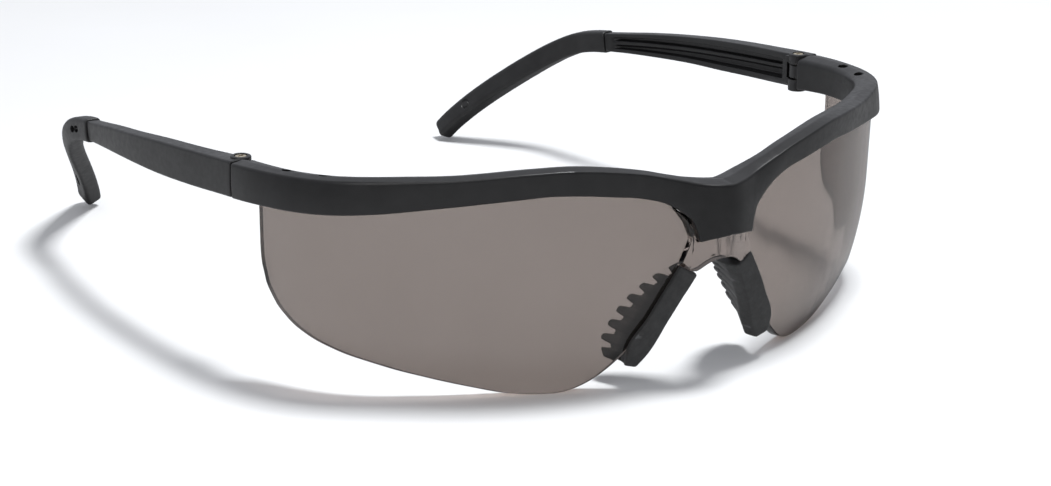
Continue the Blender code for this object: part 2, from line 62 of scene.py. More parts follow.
MM = 0.001
GAP = 0.3  # clearance between neighbouring pieces
AXIS_Y = 64.6  # the hinge axis in the design's layout
fold = next(joint for joint in frame["joints"] if joint["name"] == "left_temple_fold")
AXIS_X = fold["pos_m"][0] / MM
MID_DEPTH = AXIS_Y - fold["pos_m"][1] / MM

# Many rows of BAR, BAR_FOOT, LENS_FOOT and ARM are a curve fit's printed rows.
# Plan of the brow bar's upper front edge, from the nose to the hinge joint: x, y.
PLAN = [(0, 0), (8, 2.2), (16, 3.6), (24, 5.6), (32, 8.8), (40, 13.2), (48, 18.7), (55, 24),
        (61.2, 29.2), (66.4, 35.5), (70, 43), (72.1, 51.3), (73.25, 60), (73.6, 66)]
# Along the plan (u, from the nose): bar's top height, front face's lean back, bar's depth front to back.
BAR = [(0, 41.5, -0.2, 7.3), (6, 42.1, -0.1, 6.4), (12, 43.7, 0.6, 5.4), (17.5, 45.2, 1.2, 5.2),
       (25, 46.5, 1.1, 5.2), (32.5, 47.1, 0.8, 5.2), (40, 46.8, 0.7, 5.3), (55, 45.5, 0.3, 5.1),
       (68, 45.0, -0.5, 4.9), (80, 44.2, -0.9, 5.0), (92, 43.4, -0.9, 5.1), (99, 42.9, -0.6, 5.5),
       (105, 42.4, 0.0, 5.9)]
# Along the plan: height of the bar's lower edge. It drops to the bridge piece over the nose.
BAR_FOOT = [(0, 31.2), (5.5, 30.5), (6.5, 30.3), (7.0, 32.0), (7.9, 34.3), (9.8, 36.2), (13, 38.3),
            (18, 39.9), (25, 41.0), (30.5, 41.6), (36, 41.8), (42, 41.3), (55, 39.9), (80, 37.35),
            (98, 35.9), (105, 35.1)]
BAR_END = 104.9  # u of the butt joint with the temple
GROOVE = [(0, 2.5), (98.0, 2.5), (99.9, 0.4), (105, 0.3)]  # depth of the lens groove in the underside

LENS_THICK = 2.2
LENS_END = 97.3
LENS_SET_BACK = [(0, 2.6), (30, 2.4), (60, 1.1), (80, 0.95), (105, 1.0)]  # from the plan edge
LENS_LEAN = 0.052  # slope of the lens back from the vertical, where it faces forward
LENS_LEAN_TOP = 38.0  # height where that lean starts
LENS_CURL = 25.0  # below this height the lens also curls under
LENS_RADIUS = 75.0  # on this radius
LENS_BITE = 2.1  # how far the lens reaches up into the groove
LENS_RIM = 0.2  # rounding of the lens's edge
# Along the plan: height of the lens's lower edge, over the nose arch, down the nose side, and round.
LENS_FOOT = [(0, 26.0), (2.5, 25.8), (4.5, 25.0), (5.8, 24.1), (7.5, 23.3), (12.7, 16.6), (17.2, 10.2),
             (20.6, 6.6), (25.7, 2.8), (30.4, 0.7), (35.2, 0.0), (40.5, 0.2), (46, 0.9), (52, 2.3),
             (58, 3.8), (64, 5.4), (71.5, 7.4), (79.5, 9.4), (86, 11.5), (91, 14.2), (94.6, 18.0),
             (96.5, 22.5), (97.3, 28), (97.5, 33)]
BOSS_RISE = 1.1  # the lens is thicker round the bridge piece: how far it stands forward there
BOSS_WALL = 0.3  # width of the step down from it
BOSS_DIP = 0.15  # share of the rise that is lost at the thick part's edge
BOSS_BELOW_BAR = 0.4  # the thick part ends this far below the bar's foot
LENS_LAST_ROWS = (0.52, 0.32)  # and these rows of the lens, below that foot, lie either side of its end
LENS_ROWS = 26
LENS_RIM_ROWS = [0.0, 0.08, 0.25, 0.55, 1.0]  # as shares of the rounded rim
# Height, and u of the step at the thick part's edge.
BOSS_EDGE = [(20, 9.8), (25.2, 9.3), (28, 8.3), (30.6, 7.6), (32.5, 8.2), (34.8, 9.2), (36.8, 11.0),
             (38.6, 13.8), (42, 20.0)]
BOSS_SPAN = 26.0  # beyond this u the lens's columns stand upright
BOSS_COLUMN = 9.0  # the lens's column along the thick part's edge
BOSS_COLUMN_OUT = 9.1  # and along the foot of the step

# Nose pad strip, top to bottom: fraction, nose-side u and z, lens-side u and z.
PAD_STRIP = [(0, 6.0, 22.9, 9.3, 25.2), (0.5, 10.6, 13.9, 14.9, 15.9), (0.88, 14.6, 6.4, 19.3, 8.2),
             (1.0, 16.6, 4.4, 19.2, 5.3)]
# Nose pad wing, top to bottom: fraction, offset of its rear edge outwards, backwards and upwards.
PAD_WING = [(0, -0.6, 4.2, 0.4), (0.3, 0.6, 7.6, 0.6), (0.6, 1.9, 8.6, 0.5), (0.85, 2.5, 7.0, 0.4),
            (1.0, 2.2, 4.0, 0.8)]
WING_THICK = 1.5
PAD_TEETH = 8
TOOTH_DEEP = 2.4
TOOTH_STEPS = 14  # sections drawn for each tooth
# The comb, in shares of one tooth's pitch: a gap's half width, its flank's width, the tooth's rounded rest.
GAP_HALF, GAP_FLANK, TOOTH_CROWN = 0.26, 0.1, 0.24
FLANK_SHARE, CROWN_SHARE = 0.86, 0.14  # of the comb's depth
WAIST_WIDE, RIM_WIDE = 1.15, 0.75  # the wing's half width at its waist and rim, over half WING_THICK
PAD_ENDS = [(0.0, 0.3), (0.005, 0.12), (0.013, 0.03), (0.022, 0.0)]  # fraction, and how far pulled in

# Hinge. Heights are pairs of lowest and highest.
LOBE_R = 2.05
LOBE_TOP = (40.4, 42.55)
LOBE_LOW = (34.4, 36.9)
KNUCKLE_R = 1.85
KNUCKLE = (37.2, 40.1)
KNUCKLE_BEVEL = 0.15
LOBE_ROUND = (0.3, 0.09)  # rounding of the top lobe's rim, and how far in its middle point lies
NECK_HALF = 1.5
NECK_FRONT = 60.3  # the knuckle's neck starts here, inside the bar
BUTT_Y = 62.55  # front end of the temple
BUTT_ROUND = ((0.0, 0.22), (0.1, 0.07))  # distance from the butt joint, and how far pulled in
CHEEK_X = 72.3  # the temple's outer wall is outside this
BLOCK_REAR = 67.4  # the block behind the lobes
BLOCK_INNER = 68.3
BLOCK_BEVEL = 0.25
SCREW_R = 0.7
SCREW_HEAD = (1.15, 41.6, 42.5)  # radius, then lowest and highest
SCREW_FOOT = 34.9
NUT_R = 1.25
NUT_TOP = 36.0
BORE_SIDES = 44  # unlike TURN_SIDES, so that no cut runs along an edge
SINK_SIDES = 40
RECESS = (0.78, 0.15, 0.4)  # the cross recess's reach, half width and depth
RECESS_TURN = math.radians(25)
DOME = 0.12  # height of the screw head's dome

# Temple arm, front to rear: y, then its outer top edge's x and z, its height and its thickness.
ARM = [(BUTT_Y, 73.35, 42.4, 7.3, 4.0), (68, 73.5, 41.9, 7.3, 4.3), (75, 73.6, 41.2, 7.3, 3.9),
       (82, 73.7, 40.5, 7.2, 3.7), (93, 73.5, 39.3, 6.9, 3.5), (105, 72.8, 37.7, 6.1, 3.1),
       (117, 71.4, 35.9, 5.3, 3.0), (126, 70.05, 34.3, 4.6, 2.8), (131.7, 69.1, 33.3, 4.3, 2.7)]
ARM_LEAN = math.radians(9.2)  # the rear end's slope, which its sections turn to meet
ARM_TURN = math.radians(8.0)  # the rear end's turn inwards
CHANNEL = [(69.3, 0.0), (71.3, 1.0), (127, 1.0), (129.5, 0.0)]  # open share of the inner side's channel
ARM_WALL = 1.5
TONGUE = (1.5, 2.4, 10.5)  # thickness, height, length

# Temple tip: its middle line from the sleeve's mouth to the foot: x, y, z, then thickness and height.
TIP = [(67.76, 131.47, 31.13, 3.5, 5.1), (67.1, 136.2, 30.35, 3.55, 5.0), (66.45, 140.9, 29.1, 3.6, 4.95),
       (65.4, 145.6, 27.0, 3.7, 4.9), (63.6, 150.2, 24.2, 3.75, 4.9), (61.2, 154.7, 20.9, 3.8, 4.9),
       (58.4, 159.1, 17.3, 3.8, 4.85), (55.4, 163.5, 13.4, 3.75, 4.8), (52.5, 167.7, 9.3, 3.7, 4.75),
       (49.9, 171.6, 5.0, 3.7, 4.7), (47.8, 175.0, 0.6, 3.7, 4.7)]
TIP_FACE_START = Vector((-0.99, -0.14, 0))  # the way the tip's inner face looks at the sleeve
TIP_FACE_END = Vector((-0.91, -0.02, 0.42))  # and at the foot
TIP_SQUARE_END = 1.7  # the drawn tip ends square, this far before its middle line does
POCKET_DEPTH = 11.2
DETENTS = (6.4, 8.9)  # distance of the two detent windows from the sleeve's mouth
DETENT_SIZE = (2.6, 1.5)  # along the tip and across it
CORD_EYE = 8  # which TIP station carries the eye
EYE_RING = (1.0, 0.32)  # radius of its ring, and of the groove that draws it
EYE_SLOT = (6, 1.1)  # the outer face's slot, along the tip and across it

VENTS = [(80.9, 2.95), (90.6, 2.85)]  # u and set-back of the vent holes
VENT_SIZE = (2.8, 1.9, 3.0)  # length along the bar, width, depth

# Camera, in metres and degrees. The target is measured from the middle of the CAD box's floor.
CAMERA_AZIMUTH = -34.9
CAMERA_ELEVATION = 18.35
CAMERA_ROLL = 0.3
CAMERA_DISTANCE = 0.605
CAMERA_TARGET = (-0.0066, -0.02835, 0.0143)
CAMERA_LENS = 100.6
CAMERA_SHIFT = 0.0026

# Looks: floor, lens and surroundings.
FLOOR_SIZE = 8.0
FLOOR_SHADE = (0.80, 0.80, 0.80)
FLOOR_LIGHT = (0.82, 0.82, 0.82)
MIRRORED_CARD_SHADE = (0.55, 0.3)  # painted shade: in reflections the card is darker, most of all on the side with no lamp
MIRRORED_SPAN = (-0.2, 0.06)  # the places along X where it is
LENS_TINT = (0.202, 0.169, 0.152)
LENS_TINT_LIGHT = (0.213, 0.179, 0.162)
LENS_SHADOW = (0.3, 0.26, 0.24)  # what the lens lets through to the floor
WORLD_COLOUR = (0.91, 0.935, 1, 1)
WORLD_BRIGHT_WAY = (0.3, 0.75, 0.6)
WORLD_SPAN = (-0.6, 0.8)  # how squarely a direction faces that way, where it is dim and where bright
WORLD_STRENGTH = (0.14, 0.56)  # dim and bright

CREASE_ANGLE = 38  # edges sharper than this stay sharp, in degrees
SOFT_CREASE_ANGLE = 50  # and on the lens and the pads
TURN_SIDES = 48
CORNER_STEPS = 3  # segments in each rounded corner of a section
SLOPE_REACH = 0.1  # how far either side of u a slope is measured


def spline(rows, flat_peaks=False):
    """A smooth function through rows of (key, values...). flat_peaks keeps it from overshooting."""
    keys = [row[0] for row in rows]
    values = [row[1:] for row in rows]
    steps = [keys[i + 1] - keys[i] for i in range(len(keys) - 1)]
    rises = [[(b - a) / step for a, b in zip(values[i], values[i + 1])] for i, step in enumerate(steps)]

    def slope(i, k):
        if i in (0, len(keys) - 1):
            return rises[min(i, len(rises) - 1)][k]
        before, after = rises[i - 1][k], rises[i][k]
        if flat_peaks and before * after <= 0:
            return 0.0
        mean = (before * steps[i] + after * steps[i - 1]) / (steps[i - 1] + steps[i])
        if flat_peaks:
            mean = math.copysign(min(abs(mean), 3 * abs(before), 3 * abs(after)), mean)
        return mean

    slopes = [[slope(i, k) for k in range(len(values[0]))] for i in range(len(keys))]

    def at(key):
        i = 0
        while i < len(steps) - 1 and key > keys[i + 1]:
            i += 1
        step = steps[i]
        t = min(max((key - keys[i]) / step, 0.0), 1.0)
        weights = (2 * t**3 - 3 * t**2 + 1, 3 * t**2 - 2 * t**3, t**3 - 2 * t**2 + t, t**3 - t**2)
        return [weights[0] * a + weights[1] * b + step * (weights[2] * p + weights[3] * q)
                for a, b, p, q in zip(values[i], values[i + 1], slopes[i], slopes[i + 1])]

    return at


def by_length(points):
    """Rows of (distance along the points, point) for spline."""
    rows = [(0.0, *points[0])]
    for a, b in zip(points, points[1:]):
        rows.append((rows[-1][0] + math.dist(a[:3], b[:3]), *b))
    return rows


plan_rows = by_length(PLAN)
plan_rows.insert(0, (-plan_rows[1][0], -PLAN[1][0], PLAN[1][1]))
plan_at = spline(plan_rows)
bar_at = spline(BAR)
bar_foot_at = spline(BAR_FOOT, flat_peaks=True)
groove_at = spline(GROOVE, flat_peaks=True)
set_back_at = spline(LENS_SET_BACK)
lens_foot_at = spline(LENS_FOOT, flat_peaks=True)
boss_edge_at = spline(BOSS_EDGE)
strip_at = spline(PAD_STRIP)
wing_at = spline(PAD_WING)
arm_at = spline(ARM)
channel_at = spline(CHANNEL, flat_peaks=True)
tip_rows = by_length(TIP)
tip_at = spline(tip_rows)


def along_plan(u):
    """The plan's direction at u, away from the nose."""
    ahead, behind = plan_at(u + SLOPE_REACH), plan_at(u - SLOPE_REACH)
    return Vector((ahead[0] - behind[0], ahead[1] - behind[1])).normalized()


def wrap(u, inward, z):
    """The point at u along the plan, set back inward from it, at height z. Negative u is the right half."""
    side = -1 if u < 0 else 1
    u = abs(u)
    x, y = plan_at(u)
    along = along_plan(u)
    return Vector((side * (x - inward * along.y), y + inward * along.x, z))


def lens_front(u, z):
    """Set-back of the lens's front surface: it leans back from the bar and curls under towards its foot."""
    lean = LENS_LEAN * along_plan(u).x * max(LENS_LEAN_TOP - z, 0.0)
    return set_back_at(u)[0] + lean + max(LENS_CURL - z, 0.0) ** 2 / (2 * LENS_RADIUS)


def steepness(edge_at, u):
    """How much longer an edge is than its run along the plan at u, for an edge given by its height."""
    return math.hypot(1, (edge_at(u + SLOPE_REACH)[0] - edge_at(u - SLOPE_REACH)[0]) / (2 * SLOPE_REACH))


def steps_between(low, high, step):
    """Evenly spaced values from low to high, about step apart, both ends included."""
    count = max(1, round((high - low) / step))
    return [low + (high - low) * i / count for i in range(count + 1)]


def both_halves(stops):
    return [-u for u in reversed(stops) if u > 0] + list(stops)


def rounded(corners):
    """A closed outline whose corners, each (point, radius) or (point, radius before, radius after), are
    turned by short curves."""
    outline = []
    for i, (corner, *radii) in enumerate(corners):
        before = corners[i - 1][0] - corner
        after = corners[(i + 1) % len(corners)][0] - corner
        start = corner + before.normalized() * min(radii[0], before.length * 0.48)
        end = corner + after.normalized() * min(radii[-1], after.length * 0.48)
        for k in range(CORNER_STEPS + 1):
            t = k / CORNER_STEPS
            outline.append(start * (1 - t) ** 2 + corner * 2 * t * (1 - t) + end * t**2)
    return outline


def section(corners):
    """The same for corners given as (across, up, radius or radii)."""
    return rounded([(Vector(corner[:2]), *corner[2:]) for corner in corners])


def inset(outline, margin):
    """The outline's points pulled in towards their middle by margin, for a shape's rounded end."""
    middle = sum(outline[1:], outline[0].copy()) / len(outline)
    return [middle + (point - middle) * (1 - margin / max((point - middle).length, margin * 2))
            for point in outline]


def loft(rings):
    """A closed solid through rings of equal length, capped at both ends."""
    bm = bmesh.new()
    rows = [[bm.verts.new(point) for point in ring] for ring in rings]
    count = len(rows[0])
    for one, two in zip(rows, rows[1:]):
        for i in range(count):
            j = (i + 1) % count
            bm.faces.new((one[i], one[j], two[j], two[i]))
    bm.faces.new(rows[0])
    bm.faces.new(reversed(rows[-1]))
    return bm


def turned(profile, sides=TURN_SIDES, close=False):
    """A solid turned about Z from (radius, height) points, from the axis or a closed ring."""
    bm = bmesh.new()
    rings = []
    for radius, height in profile:
        if radius == 0:
            rings.append([bm.verts.new((0, 0, height))] * sides)
            continue
        turns = [2 * math.pi * i / sides for i in range(sides)]
        rings.append([bm.verts.new((radius * math.cos(a), radius * math.sin(a), height)) for a in turns])
    pairs = list(zip(rings, rings[1:])) + ([(rings[-1], rings[0])] if close else [])
    for one, two in pairs:
        for i in range(sides):
            j = (i + 1) % sides
            corners = [one[i], one[j], two[j], two[i]]
            bm.faces.new([v for k, v in enumerate(corners) if v not in corners[:k]])
    return bm


def cylinder(x, y, low, high, radius, sides=TURN_SIDES, bm=None):
    bm = bm or bmesh.new()
    bmesh.ops.create_cone(bm, cap_ends=True, segments=sides, radius1=radius, radius2=radius,
                          depth=high - low, matrix=Matrix.Translation((x, y, (low + high) / 2)))
    return bm


def box(low, high):
    bm = bmesh.new()
    size = [b - a for a, b in zip(low, high)]
    middle = [(a + b) / 2 for a, b in zip(low, high)]
    bmesh.ops.create_cube(bm, size=1, matrix=Matrix.Translation(middle) @ Matrix.Diagonal((*size, 1)))
    return bm


def turn_to(axes):
    """The rotation whose columns are three unit axes."""
    return Matrix([[axis[i] for axis in axes] for i in range(3)]).to_4x4()


def oriented_box(centre, axes, size):
    bm = bmesh.new()
    placed = Matrix.Translation(centre) @ turn_to(axes) @ Matrix.Diagonal((*size, 1))
    bmesh.ops.create_cube(bm, size=1, matrix=placed)
    return bm


def oval_cutter(depth, mouth, flare, over, sides):
    """A cutter 1 across, to be stretched to an oval, that widens to flare between the mouth's two heights."""
    low, high = mouth
    return turned([(0, -depth), (0.5, -depth), (0.5, low), (flare, high), (flare, over), (0, over)], sides)


def mirrored(bm, side):
    """Turns a piece drawn on the wearer's left into its right-hand twin."""
    if side < 0:
        bmesh.ops.scale(bm, verts=bm.verts, vec=(-1, 1, 1))
    return bm


def draw(name, bm):
    """An object in the row frame of a mesh drawn in millimetres in the design's layout."""
    bmesh.ops.recalc_face_normals(bm, faces=bm.faces)
    bmesh.ops.translate(bm, verts=bm.verts, vec=(0, -MID_DEPTH, 0))
    bmesh.ops.scale(bm, verts=bm.verts, vec=(MM, MM, MM))
    mesh = bpy.data.meshes.new(name)
    bm.to_mesh(mesh)
    bm.free()
    obj = bpy.data.objects.new(name, mesh)
    bpy.context.scene.collection.objects.link(obj)
    return obj


def carve(obj, steps):
    """Joins or cuts shapes, each (operation, mesh), and keeps the result."""
    helpers = []
    for i, (operation, bm) in enumerate(steps):
        helper = draw(f"{obj.name}_{i}", bm)
        modifier = obj.modifiers.new(helper.name, "BOOLEAN")
        modifier.operation = operation
        modifier.object = helper
        modifier.solver = "EXACT"
        helpers.append(helper)
    settle(obj)
    for helper in helpers:
        bpy.data.objects.remove(helper)
    return obj


def settle(obj):
    """Applies an object's modifiers."""
    evaluated = obj.evaluated_get(bpy.context.evaluated_depsgraph_get())
    mesh = bpy.data.meshes.new_from_object(evaluated)
    obj.modifiers.clear()
    old = obj.data
    obj.data = mesh
    bpy.data.meshes.remove(old)
    mesh.name = obj.name


def finish_piece(obj, surface, body, node, angle=CREASE_ANGLE):
    """Shades a piece, gives it its material, and puts it in its CAD node's place."""
    obj.data.materials.clear()
    obj.data.materials.append(surface)
    obj.data.shade_smooth()
    obj.data.set_sharp_from_angle(angle=math.radians(angle))
    weighted = obj.modifiers.new("weighted_normals", "WEIGHTED_NORMAL")
    weighted.keep_sharp = True
    weighted.weight = 80
    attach(obj, body)
    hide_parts(node)


def make_brow_bar():
    end_margins = {BAR_END - back: margin for back, margin in BUTT_ROUND}

    def ring(u):
        top, lean, depth = bar_at(abs(u))
        foot = bar_foot_at(abs(u))[0]
        steep = steepness(bar_foot_at, abs(u))
        groove = groove_at(abs(u))[0]
        lip = lens_front(abs(u), foot) - GAP
        rear_lip = lip + LENS_THICK + 2 * GAP
        back = max(depth, rear_lip + 1.0)
        outline = section([
            (0.0, top - 0.3, 0.4, 0.6), (0.5 * lean - 0.15, (top + foot) / 2, 1.5),
            (lean, foot, 0.45 * steep, 0.45), (lip, foot, 0.1), (lip, foot + groove, 0.05),
            (rear_lip, foot + groove, 0.05), (rear_lip, foot, 0.15), (back, foot, 0.5, 0.5 * steep),
            (depth, top - 0.65, 1.0), (0.45 * depth, top + 0.05, 0.35)])
        margin = end_margins.get(abs(u), 0.0)
        if margin:
            outline = inset(outline, margin)
        return [wrap(u, inward, z) for inward, z in outline]

    stops = (steps_between(0, 5.2, 0.5) + steps_between(5.4, 14, 0.2) + steps_between(14.6, 96, 1.0)
             + steps_between(96.6, BAR_END - 0.3, 0.4) + sorted(end_margins))
    bar = draw("brow_bar_shell", loft([ring(u) for u in both_halves(stops)]))
    steps = []
    for side in (1, -1):
        low, high = KNUCKLE
        rim = KNUCKLE_R - KNUCKLE_BEVEL
        knuckle = turned([(0, low), (rim, low), (KNUCKLE_R, low + KNUCKLE_BEVEL),
                          (KNUCKLE_R, high - KNUCKLE_BEVEL), (rim, high), (0, high)])
        bmesh.ops.translate(knuckle, verts=knuckle.verts, vec=(AXIS_X, AXIS_Y, 0))
        neck = box((AXIS_X - NECK_HALF, NECK_FRONT, KNUCKLE[0] + 0.02),
                   (AXIS_X + NECK_HALF, AXIS_Y, KNUCKLE[1] - 0.02))
        notch = cylinder(AXIS_X, AXIS_Y, LOBE_TOP[0] - GAP, LOBE_TOP[1] + 2, LOBE_R + GAP)
        cylinder(AXIS_X, AXIS_Y, LOBE_LOW[0] - 2, LOBE_LOW[1] + GAP, LOBE_R + GAP, bm=notch)
        bore = cylinder(AXIS_X, AXIS_Y, KNUCKLE[0] - 1, KNUCKLE[1] + 1, SCREW_R + GAP, BORE_SIDES)
        steps += [("UNION", mirrored(neck, side)), ("UNION", mirrored(knuckle, side)),
                  ("DIFFERENCE", mirrored(notch, side)), ("DIFFERENCE", mirrored(bore, side)),
                  ("DIFFERENCE", mirrored(vent_holes(), side))]
    return carve(bar, steps)


def vent_holes():
    """Oval blind holes with a small chamfer at the mouth."""
    bm = bmesh.new()
    length, width, deep = VENT_SIZE
    for u, inward in VENTS:
        mouth = wrap(u, inward, bar_at(u)[0] - 0.08)
        along = (wrap(u + 0.5, inward, 0) - wrap(u - 0.5, inward, 0)).normalized()
        turn = Matrix.Rotation(math.atan2(along.y, along.x), 4, "Z")
        shaft = oval_cutter(deep, (-0.12, 0.02), 0.57, 2, 40)
        shaft.transform(Matrix.Translation(mouth) @ turn @ Matrix.Diagonal((length, width, 1, 1)))
        merge(bm, shaft)
    return bm


def merge(bm, other):
    """Adds another mesh's faces to bm."""
    made = bpy.data.meshes.new("merge")
    other.to_mesh(made)
    other.free()
    bm.from_mesh(made)
    bpy.data.meshes.remove(made)


def lens_column(c, z):
    """u of the lens's column c at height z. Near the nose the columns follow the thick part's edge."""
    edge = boss_edge_at(z)[0]
    if c <= BOSS_COLUMN:
        return edge * c / BOSS_COLUMN
    if c >= BOSS_SPAN:
        return c
    start = edge + BOSS_WALL
    return start + (c - BOSS_COLUMN_OUT) / (BOSS_SPAN - BOSS_COLUMN_OUT) * (BOSS_SPAN - start)


def column_meets(c, edge_at):
    """The height where the lens's column c crosses an edge that is given by its height at each u."""
    low, high = -1.0, 48.0
    for _ in range(30):
        middle = (low + high) / 2
        below = edge_at(lens_column(c, middle))[0] > middle
        low, high = (middle, high) if below else (low, middle)
    return low


def lens_rise(u, z):
    """How far the lens's front stands forward of its plain surface: BOSS_RISE round the bridge piece, from
    above the nose strip to below the bar."""
    nose_u, nose_z, lens_u, lens_z = strip_at(0.0)
    strip_top = nose_z + (u - nose_u) * (lens_z - nose_z) / (lens_u - nose_u)
    if z > bar_foot_at(u)[0] - BOSS_BELOW_BAR or z < strip_top + GAP:
        return 0.0
    past = (u - boss_edge_at(z)[0]) / BOSS_WALL
    if past >= 0.99:
        return 0.0
    return BOSS_RISE * (1.0 - BOSS_DIP * max(past + 1, 0.0) ** 2)


def rim_pull(distance):
    """How far the lens's faces curve together at that distance from its edge."""
    left = max(LENS_RIM - max(distance, 0.0), 0.0)
    return LENS_RIM - math.sqrt(LENS_RIM**2 - left**2)


def make_lens():
    last_thick, first_plain = LENS_LAST_ROWS

    def ring(c):
        column = abs(c)
        side = -1 if c < 0 else 1
        low = column_meets(column, lens_foot_at)
        high = column_meets(column, bar_foot_at)
        u = lens_column(column, low)
        steep = steepness(lens_foot_at, u)
        rim = min(LENS_RIM * steep, (high - low) * 0.3)
        heights = [low + rim * share for share in LENS_RIM_ROWS]
        top = high - last_thick
        heights += steps_between(heights[-1], top, (top - heights[-1]) / LENS_ROWS)[1:]
        heights += [high - first_plain, high + LENS_BITE]
        front, back = [], []
        for z in heights:
            u = lens_column(column, z)
            pull = rim_pull(min((z - low) / steep, LENS_END - u))
            face = lens_front(u, z)
            front.append(wrap(side * u, face - lens_rise(u, z) + pull, z))
            back.append(wrap(side * u, face + LENS_THICK - pull, z))
        return front + back[::-1]

    edge = BOSS_COLUMN
    stops = (steps_between(0, edge - 0.6, 0.6) + [edge - 0.34, edge - 0.16, edge, BOSS_COLUMN_OUT]
             + steps_between(BOSS_COLUMN_OUT + 0.4, BOSS_SPAN, 0.5)
             + steps_between(BOSS_SPAN + 1, LENS_END - 2, 1.0)
             + [LENS_END - back for back in (1.4, 0.9, 0.5, 0.25, 0.1, 0.03, 0)])
    return draw("lens_shell", loft([ring(c) for c in both_halves(stops)]))


def lens_edge(z):
    """u of the lens's nose-side edge at height z."""
    low, high = 7.5, 22.0
    for _ in range(30):
        middle = (low + high) / 2
        low, high = (middle, high) if lens_foot_at(middle)[0] > z else (low, middle)
    return low


def tooth_gap(t):
    """How deep the comb is cut at fraction t of the pad: 0 on a tooth's crown, 1 in the middle of a gap."""
    phase = abs(t * PAD_TEETH - round(t * PAD_TEETH))
    if not 0.5 < t * PAD_TEETH < PAD_TEETH - 0.5:
        phase = 0.5
    flank = min(max((GAP_HALF - phase) / GAP_FLANK, 0.0), 1.0)
    crown = min(max((phase - GAP_HALF) / TOOTH_CROWN, 0.0), 1.0)
    return flank * flank * (3 - 2 * flank) * FLANK_SHARE + CROWN_SHARE * (1 - crown) ** 2


def pad_ring(t):
    """The pad's section at fraction t: strip, neck round the lens's edge, and wing."""
    nose_u, nose_z, lens_u, lens_z = strip_at(t)
    width = lens_u - nose_u

    def point(a, depth):
        u, z = nose_u + a * width, nose_z + a * (lens_z - nose_z)
        return wrap(u, lens_front(u, z) + depth, z)

    edge = 0.5
    for _ in range(12):
        edge = (lens_edge(nose_z + edge * (lens_z - nose_z)) - 2 * GAP - nose_u) / width
        edge = min(max(edge, 0.2), 0.8)
    back = LENS_THICK + GAP
    root = (point(0.1, back) + point(edge, back)) / 2
    reach = Vector(wing_at(t))
    wing = root + reach * (1 - tooth_gap(t) * min(TOOTH_DEEP / reach.length, 0.5))
    waist = (root + wing) / 2
    out = (point(1, 0) - point(0, 0)).normalized() * (WING_THICK / 2)
    return rounded([
        (point(0, 0.1), 0.3), (point(0.03, -0.75), 0.3), (point(0.5, -1.0), 0.8),
        (point(0.96, -1.15), 0.25), (point(1, -0.85), 0.15), (point(1, -GAP / 2), 0.15),
        (point(edge, -GAP / 2), 0.1), (point(edge, back), 0.2), (waist + out * WAIST_WIDE, 0.8),
        (wing + out * RIM_WIDE, 0.5), (wing - out * RIM_WIDE, 0.5), (waist - out * WAIST_WIDE, 0.8),
        (point(0, back - 0.4), 0.5)])


def make_nose_pad(side, word):
    rows = PAD_ENDS + [(t, 0.0) for t in steps_between(0.045, 0.955, 1 / (PAD_TEETH * TOOTH_STEPS))]
    rows += [(1 - t, margin) for t, margin in reversed(PAD_ENDS)]
    rings = [inset(pad_ring(t), margin) if margin else pad_ring(t) for t, margin in rows]
    return draw(f"nose_pad_rubber_{word}", mirrored(loft(rings), side))


def arm_frame(y):
    """The arm's outer top edge at y, and its section's inward and upward directions."""
    x, z = arm_at(y)[:2]
    share = min(max((y - 70) / 45, 0), 1)
    lean, turn = ARM_LEAN * share, ARM_TURN * share
    inward = Vector((-math.cos(turn), -math.sin(turn), 0))
    upward = Vector((0, math.sin(lean), math.cos(lean)))
    return Vector((x, y, z)), inward, upward


def rear_axis():
    """Directions of the sleeve's slide: along it, inward and upward."""
    _, inward, upward = arm_frame(ARM[-1][0])
    along = inward.cross(upward).normalized()
    if along.y < 0:
        along = -along
    return along, inward, along.cross(inward).normalized() * math.copysign(1, along.cross(inward).z)


def sleeve_mouth():
    """The middle of the arm's rear end."""
    edge, inward, upward = arm_frame(ARM[-1][0])
    height, thick = ARM[-1][3:]
    return edge + inward * thick / 2 - upward * height / 2


